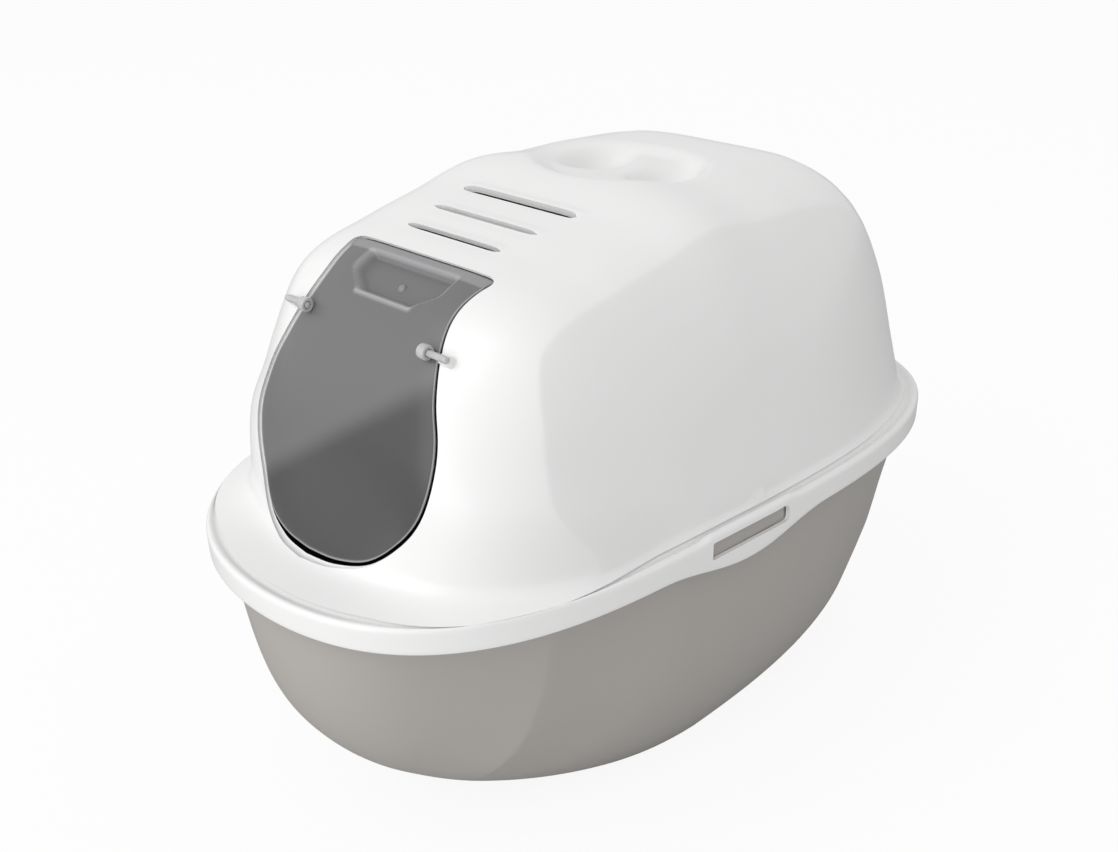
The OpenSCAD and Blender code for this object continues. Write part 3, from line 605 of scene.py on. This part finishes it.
def makeHood():
    s = hood
    lower, door, roof = s["lowerRows"], s["doorRows"], s["roofRows"]
    line = curveAt(doorLine, np.linspace(0, len(doorLine) - 1, 1200))
    wide = line[:, 1].argmax()
    widestA, widestX = line[wide]
    cornerA, cornerX = line[-1]
    lowRows = widestA * (np.arange(lower + 1) / lower) ** 1.9
    doorRows = widestA + (cornerA - widestA) * (1 - (1 - np.arange(1, door + 1) / door) ** 1.3)
    # roof rows: closer over the slots and the dish, and one row runs along each slot
    slotRows = [np.degrees(roofAngleAt(slot[0])) for slot in s["slots"]]
    weightA = np.linspace(cornerA, 180, 2000)
    weight = np.array(s["rowWeights"])[np.searchsorted(s["rowBreaks"], weightA, "right")]
    total = np.concatenate([[0], np.cumsum(0.5 * (weight[1:] + weight[:-1]))])
    roofRows = np.interp(np.linspace(0, total[-1], roof + 1), total, weightA)[1:]
    slotIndex = []
    for row in slotRows:
        k = np.abs(roofRows - row).argmin()
        roofRows[k] = row
        slotIndex.append(k + lower + door + 1)
    rows = np.radians(np.concatenate([lowRows, doorRows, roofRows]))
    last = len(rows) - 1
    degrees = np.degrees(rows)
    # sideways place of the line between the side columns and the middle ones
    edgeX = np.where(degrees <= widestA, widestX, np.where(
        degrees <= cornerA, np.interp(degrees, line[wide:, 0], line[wide:, 1]),
        cornerX + 16.5 * soft((degrees - cornerA) / 40)))
    q = np.linspace(-1, 1, s["middleColumns"] + 1)
    midX = edgeX[:, None] * np.sin(q * math.pi / 2)
    lowEdge = np.interp(np.abs(midX[0]), line[:wide + 1, 1], line[:wide + 1, 0])
    share = (degrees / widestA)[:, None]
    # below the doorway the rows run from the flat foot to the doorway's curved edge
    midA = np.where((np.arange(last + 1) <= lower)[:, None], share * lowEdge, degrees[:, None])
    edgeT = sideAngle(rows, edgeX)
    f = columnShares(rows, edgeT)
    sides = f.shape[1] - 1
    sideT = edgeT[:, None] + (math.pi / 2 - edgeT[:, None]) * f
    sideA = np.repeat(degrees[:, None], sides, 1)
    midT = sideAngle(np.radians(midA), midX)
    allT = np.concatenate([-sideT[:, :0:-1], midT, sideT[:, 1:]], 1)
    allA = np.concatenate([sideA, midA, sideA], 1)
    allX = domeAt(np.radians(allA), allT, 0.0)[..., 0]
    # the doorway's corners are rounded, and the nearby grid goes with them
    near = (np.abs(allX) < cornerX + 40) & (np.abs(allA - cornerA) < 14)
    bentA, bentX = roundCorner(allA, allX, cornerA, cornerX, s["cornerRadius"])
    allA, allX = np.where(near, bentA, allA), np.where(near, bentX, allX)
    allT = np.where(near, sideAngle(np.radians(allA), allX), allT)
    base = np.radians(allA)
    opened = base.copy()
    spreads = []
    # rows part from each slot's line by half its width, less and less further away
    for row, slot in zip(slotRows, s["slots"]):
        away = base - math.radians(row)
        spread = slotSpread(allX, *slot[1:])
        opened += np.where(away > 1e-9, 1, -1) * spread * np.exp(-np.abs(away) / math.radians(1.3))
        spreads.append(spread)
    shell = Shell()
    first, finish = sides, sides + s["middleColumns"]
    skins = []
    for inset in (0.0, box["wall"]):
        n = shell.add(hoodSkin(opened, allT, inset))
        n[:, 0], n[:, -1] = n[0, 0], n[0, -1]
        keep = np.ones((last, n.shape[1] - 1), bool)
        keep[lower:lower + door, first:finish] = False
        # a slot's row is split into a front and a rear edge
        top = n.copy()
        split = {}
        for row, spread in zip(slotIndex, spreads):
            inside = spread[row] > 1e-5
            rear = opened[row] + 2 * spread[row]
            upper = n[row].copy()
            upper[inside] = shell.add(hoodSkin(rear[inside], allT[row][inside], inset))
            split[row] = (upper, inside)
            top[row] = upper
        corners = [top[:-1, :-1], top[:-1, 1:], n[1:, 1:], n[1:, :-1]]
        if inset > 0:
            corners = corners[:1] + corners[:0:-1]
        shell.faces.append(np.stack(corners, -1)[keep])
        skins.append((n, split))
    (outer, outerSlots), (inner, _) = skins

    def lip(outerLoop, innerLoop, bulge):
        # rounded edge between the two skins: half circle steps that swell into the opening by bulge
        points = np.concatenate(shell.points)
        po, pi = points[outerLoop], points[innerLoop]
        middle, half = (po + pi) / 2, (po - pi) / 2
        tangent = np.roll(po, -1, 0) - np.roll(po, 1, 0)
        out = np.cross(half, tangent)
        out /= np.linalg.norm(out, axis=1)[:, None] + 1e-9
        previous = outerLoop
        for k in range(1, s["lipSteps"] + 1):
            turn = math.pi * k / (s["lipSteps"] + 1)
            ring = shell.add(middle + half * math.cos(turn) + out * bulge * math.sin(turn))
            shell.ring(previous, ring)
            previous = ring
        shell.ring(previous, innerLoop)

    def doorLoop(n):
        # round the doorway: along its foot, up the right, back over its top, down the left
        return np.concatenate([n[lower, first:finish], n[lower:lower + door, finish],
                               n[lower + door, finish:first:-1], n[lower + door:lower:-1, first]])

    lip(doorLoop(outer), doorLoop(inner), s["doorLip"])
    for row in slotIndex:
        span = np.flatnonzero(outerSlots[row][1])
        lo, hi = span[0], span[-1]
        lip(*(np.concatenate([n[row, lo - 1:hi + 2], slots[row][0][hi:lo - 1:-1]]) for n, slots in skins),
            s["slotLip"])

    # rim rings share the foot's columns: front row left to right, rear row right to left
    columns = outer.shape[1]
    side = np.repeat([-1, 1], [columns, columns - 2])
    footO, footI, tFoot = (np.concatenate([n[0], n[-1, -2:0:-1]]) for n in (outer, inner, allT))
    rings, split, innerSplit, gap = rimRows(tFoot, side)
    numbers = [shell.add(r) for r in rings]
    whole = ~(gap & np.roll(gap, -1))
    previous = footO
    for k, ring in enumerate(numbers + [footI]):
        part = whole if k in (split + 1, innerSplit + 1) else np.ones(len(whole), bool)
        quads = np.stack([previous, ring, np.roll(ring, -1), np.roll(previous, -1)], -1)
        shell.faces.append(quads[part])
        previous = ring
    # edges of the two windows: along the upper face edge, then back along the lower one
    for start in np.flatnonzero(gap & ~np.roll(gap, 1)):
        m = [start]
        while gap[(m[-1] + 1) % len(gap)]:
            m.append((m[-1] + 1) % len(gap))
        m = np.array(m)
        lip(np.concatenate([numbers[split][m], numbers[split + 1][m[::-1]]]),
            np.concatenate([numbers[innerSplit + 1][m], numbers[innerSplit][m[::-1]]]), s["windowLip"])
    dress(shell.build("hoodShell", smoothAngle=50), whitePlastic, "hood", "hood_plastic", "hood",
          "handle_well")


def trayAt(t, side, v, inset):
    # tray wall at height share v: the outline shrinks towards the foot by 1 - (1 - v)^3.2 and grows
    # rounder, with a crease at its corners that is half as high at the rear
    s = 1 - (1 - v) ** 3.2
    full = np.where(side < 0, tray["frontPower"], box["rearPower"])
    low = tray["footPower"]
    along, across = rounded(t, low + (full - low) * v ** 5)
    place = np.interp(v, tray["creaseHeights"], tray["creasePlaces"])
    ridge = creaseShape(np.degrees(np.abs(t)) - place, *tray["creaseShape"])
    ridge = ridge * soft((v - 0.12) / 0.3) * np.where(side < 0, 1, 0.5)
    swell = 1 + tray["crease"] / crease["radius"] * ridge
    along, across = along * swell, across * swell
    narrow, short = tray["footWidth"], np.where(side < 0, tray["frontFoot"], tray["rearFoot"])
    x = (box["halfWidth"] * (1 + box["rearWidening"] * side * along) - inset) * across \
        * (narrow + (1 - narrow) * s)
    y = side * (box["halfLength"] - inset) * along * (short + (1 - short) * s)
    return x, y + np.where(side < 0, box["frontBow"] * (0.3 + 0.7 * v) * x * x * along, 0)


tray = {"inset": 10.5, "wall": 2.5, "floor": 3.0, "columns": 260, "rows": 54, "flangeTop": 204.2,
        "flangeThickness": 3.0, "frontPower": 3.9, "footPower": 2.38, "footWidth": 0.71,
        "frontFoot": 0.53, "rearFoot": 0.97, "crease": 7.0, "creaseShape": (17.0, 25.0, 0.4),
        "creaseHeights": [0.0, 0.2, 0.34, 0.42, 0.52, 0.7, 1.0],
        "creasePlaces": [26, 33, 41, 44.6, 47.6, 50.1, 51]}


def makeTray():
    s = tray
    n = s["columns"] // 2
    # columns crowd towards the crease, and each ring moves them so that one stays on it
    u = np.linspace(-1, 1, n + 1)
    w = np.clip((np.abs(u) - 0.55) / np.where(np.abs(u) < 0.55, 0.55, 0.45), -1, 1)
    upper = s["creasePlaces"][-1]
    beside = 90 - upper
    base = np.sign(u) * (upper + np.where(w < 0, upper, beside) * np.sign(w) * np.abs(w) ** 1.5)
    base = np.concatenate([base, base[-2:0:-1]])

    def tAt(v):
        place = np.interp(v, s["creaseHeights"], s["creasePlaces"])
        far = np.abs(base)
        moved = np.where(far < upper, far / upper * place, 90 - (90 - far) / beside * (90 - place))
        return np.radians(np.sign(base) * moved)

    side = np.repeat([-1, 1], [n + 1, n - 1])
    rings = []

    def wallRing(z, inset, inward=0.0):
        v = np.clip(z / box["skirtZ"], 0, 1)
        x, y = trayAt(tAt(v), side, v, inset)
        rings.append(np.stack([x * (1 - inward), y * (1 - inward) + inward * 40, z + 0 * x], -1))

    for inward in (0.9999, 0.8, 0.6, 0.4, 0.2, 0.06, 0.02):
        wallRing(0.0, s["inset"], inward)
    for v in np.linspace(0, 1, s["rows"] + 1)[1:] ** 1.5:
        wallRing(v * box["skirtZ"], s["inset"])
    low = s["flangeTop"] - s["flangeThickness"]
    for inset, z in ((s["inset"], low - 1), (s["inset"] - 1, low), (3.6, low), (3.2, low + 0.4),
                     (3.2, s["flangeTop"] - 0.4), (3.6, s["flangeTop"]), (12.4, s["flangeTop"]),
                     (13.0, s["flangeTop"] - 0.6)):
        rings.append(rimRing(tAt(1.0), side, inset, z))
    for v in np.linspace(1, 0.02, s["rows"]) ** 1.5:
        if v * box["skirtZ"] > s["floor"] + 1:
            wallRing(v * box["skirtZ"], s["inset"] + s["wall"])
    for inward in (0.0, 0.06, 0.2, 0.5, 0.9999):
        wallRing(s["floor"] + 0.6 * (inward == 0), s["inset"] + s["wall"], inward)
    shell = Shell()
    shell.tube(np.stack(rings))
    dress(shell.build("trayShell", smoothAngle=60), taupePlastic, "tray", "tray_plastic", "tray")


flap = {"gap": 2.1, "sink": 1.75, "thickness": 2.0, "pocket": 6.0, "pocketSpan": (41.2, 49.8),
        "rows": 150, "columns": 130, "pinY": -175.219, "pinZ": 336.289, "eyeEnd": 56.976,
        "eyeWidth": 6.0, "eyeRadius": 4.45, "pinRadius": 2.0, "clearance": 0.05, "pinLength": 22.0,
        "studAngle": 44.6, "studSide": 0.02,
        "stud": [(0.0, 1.5), (0.9, 1.42), (1.8, 1.1), (2.5, 0.6), (2.9, 0.0), (2.9, -0.8), (0.0, -0.8)]}


def pocketShare(a, x, grow=0.0, edge=5.0):
    # how far inside the finger pocket a place of the flap lies, from 0 to 1
    foot, top = flap["pocketSpan"]
    half = np.where(a < 45.5, 24 + 14 * soft((a - 41.6) / 3.9), 38.5) + grow
    grow = grow / box["degreeMm"]
    return soft((a - foot + grow) / (1.7 * edge / 5)) * soft((top - a + grow) / 1.4) \
        * soft((half + 1.5 - np.abs(x)) / edge)


def makeFlap():
    s = flap
    # the doorway's knots are 4.4 degrees apart where the flap ends
    end = len(doorLine) - 1 - s["gap"] / box["degreeMm"] / 4.4
    place = np.linspace(0, end, s["rows"] + 1)
    here, ahead, behind = (curveAt(doorLine, place + d) for d in (0.0, 0.05, -0.05))
    slope = np.stack([(ahead[:, 0] - behind[:, 0]) * box["degreeMm"], ahead[:, 1] - behind[:, 1]], 1)
    slope /= np.linalg.norm(slope, axis=1)[:, None]
    a = here[:, 0] + s["gap"] * slope[:, 1] / box["degreeMm"]
    w = np.maximum(here[:, 1] - s["gap"] * slope[:, 0], 0.4)
    q = np.linspace(-1, 1, s["columns"] + 1)
    x = w[:, None] * np.sin(q * math.pi / 2)
    aa = np.repeat(a[:, None], len(q), 1)
    lowest = np.interp(np.abs(x), w[:w.argmax() + 1], a[:w.argmax() + 1])
    fromEdge = np.minimum(np.minimum(w[:, None] - np.abs(x), (a[-1] - aa) * box["degreeMm"]),
                          np.where(np.arange(len(a))[:, None] <= w.argmax(),
                                   (aa - lowest) * box["degreeMm"], 99))
    inPocket = pocketShare(aa, x)
    ridge = np.clip(pocketShare(aa, x, 1.2, 3.0) - pocketShare(aa, x, -0.8, 3.0), 0, 1)
    lowBar = bell((aa - 41.5) / 0.55) * soft((26 - np.abs(x)) / 4)
    band = soft((aa - a[-1] + 2.3) / 0.4)
    bead = soft(1.5 - fromEdge)
    swell = 0.5 * bead + 0.6 * ridge * (1 - inPocket) + 0.7 * lowBar + 0.5 * band
    # share of painted highlight on the bead, the pocket's ridge, its low bar and the top band; it also
    # makes them less see-through and rougher
    mark = np.clip(0.75 * bead * (1 - band) + 0.7 * ridge + 0.9 * lowBar + 0.45 * band, 0, 1)
    depth = s["sink"] + s["pocket"] * inPocket - swell
    t = sideAngle(np.radians(aa), x)
    edge = 0.6 * (1 - np.sqrt(np.clip(1 - (1 - np.clip(fromEdge, 0, 1)) ** 2, 0, 1)))
    outer = domeAt(np.radians(aa), t, depth + edge)
    inner = domeAt(np.radians(aa), t, s["sink"] + s["thickness"] + s["pocket"] * inPocket - edge)
    shell = Shell()
    no, ni = shell.add(outer, mark), shell.add(inner, mark * 0.6)
    shell.grid(no)
    shell.grid(ni, turned=True)
    borders = [np.concatenate([n[0, :-1], n[:-1, -1], n[-1, :0:-1], n[:0:-1, 0]]) for n in (no, ni)]
    shell.ring(*borders, turned=True)
    # a small stud in the pocket, turned about an axis that stands on the sheet
    pr = np.array(s["stud"])[::-1]
    turn = np.linspace(0, 2 * math.pi, 32, endpoint=False)
    lean = math.radians(90 - s["studAngle"])
    c, sn = math.cos(lean), math.sin(lean)
    side, height = pr[:, :1] * np.sin(turn), np.repeat(pr[:, 1:], 32, 1)
    stud = np.stack([pr[:, :1] * np.cos(turn), side * c - height * sn, side * sn + height * c], -1)
    centre = domeAt(np.radians(s["studAngle"]), np.array(s["studSide"]), s["sink"] + s["pocket"])
    # the stud gets a painted highlight share of 0.35
    shell.tube(stud + centre, 0.35, capped=False)
    dress(shell.build("flapPanel", smoothAngle=60), smoky, "flap", "flap_plastic", "flap_door")


def alongX(profile, count, centre):
    # profile points (radius, place along X) turned about an axis along X through centre
    pr = np.array(profile)
    turn = np.linspace(0, 2 * math.pi, count, endpoint=False)
    return np.stack([np.repeat(pr[:, 1:], count, 1), pr[:, :1] * np.cos(turn),
                     pr[:, :1] * np.sin(turn)], -1) + centre


def makeEyesAndPins():
    s = flap
    centre = np.array([0.0, s["pinY"], s["pinZ"]])
    bore = s["pinRadius"] + s["clearance"]
    for side, word in ((-1, "Left"), (1, "Right")):
        # eye: a rounded ring, its section a softened rectangle
        q = np.linspace(0, 2 * math.pi, 40, endpoint=False)
        across, along = np.cos(q), np.sin(q)
        k = (np.abs(across) ** 4 + np.abs(along) ** 4) ** -0.25
        middleR, halfR = (bore + s["eyeRadius"]) / 2, (s["eyeRadius"] - bore) / 2
        middleX = side * (s["eyeEnd"] - s["eyeWidth"] / 2)
        profile = np.stack([middleR + halfR * across * k, middleX + s["eyeWidth"] / 2 * along * k], 1)
        shell = Shell()
        n = shell.tube(alongX(profile, 64, centre), 0.6, turned=True, capped=False)
        shell.ring(n[-1], n[0], turned=True)
        dress(shell.build("flapEye" + word), clear, "flap", "flap_plastic")
        # pin: a rod with domed ends
        x0 = s["eyeEnd"] - s["eyeWidth"] - 0.5
        x1 = x0 + s["pinLength"]
        places = np.append(x0 + np.array([0, 0.08, 0.4, 0.9, 6]),
                           x1 - np.array([6, 1.6, 0.9, 0.35, 0.08, 0]))
        widths = s["pinRadius"] * np.array([0.0005, 0.5, 0.85, 1, 1, 1, 1, 0.93, 0.75, 0.45, 0.0005])
        shell = Shell()
        shell.tube(alongX(np.stack([widths, side * places], 1), 48, centre), turned=side < 0)
        dress(shell.build("hingePin" + word), clear, "hood", "pin_plastic", "hinge_pin_" + word.lower())
        makeSaddle(side, word, x1)


def softBlock(power, rows, columns):
    # superellipsoid of half size 1: two shares round its axis and one along it
    u = np.linspace(-math.pi / 2, math.pi / 2, rows)[:, None]
    v = np.linspace(0, 2 * math.pi, columns, endpoint=False)
    cu, su, cv, sv = (np.sign(c) * np.abs(c) ** power for c in (np.cos(u), np.sin(u), np.cos(v), np.sin(v)))
    return cu * cv, cu * sv, su + 0 * cv


saddle = {"half": (4.0, 3.2, 6.2), "tilt": 53.0, "groove": 2.15, "top": 5.9, "back": 4.6}


def makeSaddle(side, word, x1):
    # saddle on the hood that a pin lies in: a softened block, its outer face hollowed along the pin
    s = saddle
    half, groove, top = s["half"], s["groove"], s["top"]
    across, up, along = softBlock(0.5, 41, 80)
    y, z = half[1] * across, half[2] * up
    hollow = top - np.sqrt(np.clip(groove ** 2 - y ** 2, 0, None))
    z = np.where((z > 0) & (np.abs(y) < groove), np.minimum(z, hollow), z)
    c, sn = math.cos(math.radians(s["tilt"])), math.sin(math.radians(s["tilt"]))
    centre = np.array([side * (x1 - s["back"]), flap["pinY"] + sn * top, flap["pinZ"] - c * top])
    shell = Shell()
    shell.tube(np.stack([half[0] * along, y * c - z * sn, y * sn + z * c], -1) + centre)
    dress(shell.build("pinSaddle" + word, smoothAngle=50), whitePlastic, "hood", "hood_plastic")


def makeLatches():
    # press plate: a softened slab whose upper band is bevelled, and a tab with a pivot behind the bulge
    s = latch
    near, far = rimX(s["y"] - s["windowLength"] / 2), rimX(s["y"] + s["windowLength"] / 2)
    face, yaw = (near + far) / 2, math.atan((far - near) / s["windowLength"])
    halfLong = s["windowLength"] / 2 - s["gap"]
    halfTall, middle = (s["top"] - s["low"]) / 2, (s["top"] + s["low"]) / 2
    q = np.linspace(0, 2 * math.pi, 240, endpoint=False)
    k = (np.abs(np.cos(q)) ** s["power"] + np.abs(np.sin(q)) ** s["power"]) ** (-1 / s["power"])
    pivotIn, pivotZ = s["outer"] - s["pivotIn"], box["skirtZ"] - s["bulgeDepth"] * s["pivotShare"]
    outline = []
    for inward, drop in s["rings"]:
        y = np.cos(q) * k * (halfLong - halfTall * (1 - inward)) * (0.999 if inward < 0.01 else 1)
        z = np.sin(q) * k * halfTall * inward
        bevel = soft((z - halfTall * 0.1) / (halfTall * 0.9)) * s["bevel"] if drop < 1 else 0
        outline.append(np.stack([s["outer"] - drop - bevel + 0 * y, y, z + middle], -1))
    barrel = alongX(s["barrel"], 40, 0)[..., [1, 0, 2]] + np.array([pivotIn, 0, pivotZ])
    across, along, up = softBlock(0.25, 21, 60)
    thick, long = s["tabHalf"]
    tab = np.stack([s["outer"] - 1.5 + thick * across, long * along,
                    (pivotZ + s["low"] + 1) / 2 + ((s["low"] + 1 - pivotZ) / 2 + 0.5) * up], -1)
    for side, word in ((-1, "Left"), (1, "Right")):
        body, turned = "latch_" + word.lower(), side < 0
        shell = Shell()
        n = shell.tube(toSide(np.stack(outline), face, yaw, s["y"], side), turned=turned, capped=False)
        fanClose(shell, n[0], not turned)
        fanClose(shell, n[-1], turned)
        dress(shell.build("latchPlate" + word, smoothAngle=40), taupePlastic, body, "tray_plastic",
              "side_" + body)
        shell = Shell()
        for part in (barrel, tab):
            shell.tube(toSide(part, face, yaw, s["y"], side), turned=turned)
        dress(shell.build("latchPivot" + word, smoothAngle=40), taupePlastic, body, "tray_plastic")


def fanClose(shell, ring, turned):
    # closes a flat ring with quads folded across it from both ends
    half = len(ring) // 2
    front, back = ring[:half + 1], np.concatenate([[ring[0]], ring[:half - 1:-1]])
    shell.grid(np.stack([front, back]), turned=turned)


def toSide(p, face, yaw, y0, side):
    # from the latch's own frame (outward, along, up) to its place on one side of the rim
    c, s = math.cos(-yaw), math.sin(-yaw)
    x = face + p[..., 0] * c - p[..., 1] * s
    y = y0 + p[..., 0] * s + p[..., 1] * c
    return np.stack([side * x, y, p[..., 2]], -1)


makeHood()
makeTray()
makeFlap()
makeEyesAndPins()
makeLatches()
# the filter cover and its pad keep their CAD shape
for node, material in (("filter_cover", coverPlastic), ("carbon_filter", felt)):
    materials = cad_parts[node].data.materials
    materials.clear()
    materials.append(material)
print("pieces made")

studio = {"floorColour": (0.79, 0.79, 0.79, 1), "floorGlow": 0.88, "worldLight": 0.745,
          "glow": 1.02, "dimGlow": 0.16, "dimShare": 0.8, "shineShare": 0.3, "floorHalf": 6000.0,
          "lamps": [("keyLamp", (-0.5, -2.1, 2.1), 2.2, 22.8), ("fillLamp", (0.2, -2.6, 0.45), 1.8, 14.4)],
          "aimZ": 0.2}


def stand(name, data, right, up, back, place):
    # adds a lamp or camera at a place, looking against back
    holder = bpy.data.objects.new(name, data)
    scene.collection.objects.link(holder)
    holder.matrix_world = Matrix([[right[i], up[i], back[i], place[i]] for i in range(3)] + [[0, 0, 0, 1]])
    return holder


def makeStudio():
    # pale floor that keeps the shadow but shows near white, a big soft key high in front left and a low
    # fill in front
    s = studio
    shell = Shell()
    u = np.linspace(-s["floorHalf"], s["floorHalf"], 3)
    gx, gy = np.meshgrid(u, u)
    shell.grid(shell.add(np.stack([gx, gy, 0 * gx - 0.2], -1)))
    floor = shell.build("studioFloor")
    material, tree = newMaterial("studioFloor")[:2]
    seen = addNode(tree, "ShaderNodeLightPath", out=0)
    lit = addNode(tree, "ShaderNodeBsdfDiffuse", None, {"Color": s["floorColour"]})
    glow = addNode(tree, "ShaderNodeEmission", None, {"Color": (1, 1, 1, 1), "Strength": s["glow"]})
    shader = addNode(tree, "ShaderNodeMixShader", None, {0: seen * s["floorGlow"], 1: lit, 2: glow})
    shiny = addNode(tree, "ShaderNodeLightPath", out=3)
    dim = addNode(tree, "ShaderNodeEmission", None, {"Color": (1, 1, 1, 1), "Strength": s["dimGlow"]})
    shader = addNode(tree, "ShaderNodeMixShader", None, {0: shiny * s["dimShare"], 1: shader, 2: dim})
    finishMaterial(tree, shader)
    floor.data.materials.append(material)

    world = bpy.data.worlds.new("studioWorld")
    world.use_nodes = True
    tree = world.node_tree
    tree.nodes.clear()
    seen = addNode(tree, "ShaderNodeLightPath", out=0)
    shiny = addNode(tree, "ShaderNodeLightPath", out=3)
    strength = s["worldLight"] + (seen + shiny * s["shineShare"]) * (1 - s["worldLight"])
    sky = addNode(tree, "ShaderNodeBackground", None, {"Color": (1, 1, 1, 1), "Strength": strength})
    finishMaterial(tree, sky, "ShaderNodeOutputWorld")
    scene.world = world

    for name, place, size, power in s["lamps"]:
        lamp = bpy.data.lights.new(name, "AREA")
        lamp.shape = "DISK"
        lamp.size = size
        lamp.energy = power
        back = np.array(place) - np.array([0.0, 0.0, s["aimZ"]])
        back /= np.linalg.norm(back)
        right = np.cross([0, 0, 1], back)
        right /= np.linalg.norm(right)
        stand(name, lamp, right, np.cross(back, right), back, place)


view = {"azimuth": 43.333, "elevation": 27.797, "roll": -0.871, "distance": 871.817, "focal": 1223.14,
        "centreX": 576.848, "centreY": 447.457, "target": (0.0, 0.0, 190.0), "frame": (1118, 852)}


def makeCamera():
    # camera at the photograph's place, worked out from the outline of the box
    s = view
    az, el, roll = (math.radians(s[k]) for k in ("azimuth", "elevation", "roll"))
    back = np.array([math.sin(az) * math.cos(el), -math.cos(az) * math.cos(el), math.sin(el)])
    right = np.array([math.cos(az), math.sin(az), 0.0])
    up = np.cross(back, right)
    r = right * math.cos(roll) + up * math.sin(roll)
    u = -right * math.sin(roll) + up * math.cos(roll)
    place = (np.array(s["target"]) + s["distance"] * back) * mm
    data = bpy.data.cameras.new("photoCamera")
    data.sensor_width = 36.0
    data.lens = s["focal"] / s["frame"][0] * 36.0
    data.shift_x = (s["frame"][0] / 2 - s["centreX"]) / s["frame"][0]
    data.shift_y = (s["centreY"] - s["frame"][1] / 2) / s["frame"][0]
    data.clip_start = 0.05
    scene.camera = stand("photoCamera", data, r, u, back, place)


makeStudio()
makeCamera()
scene.view_settings.view_transform = "Standard"
print("studio and camera made")
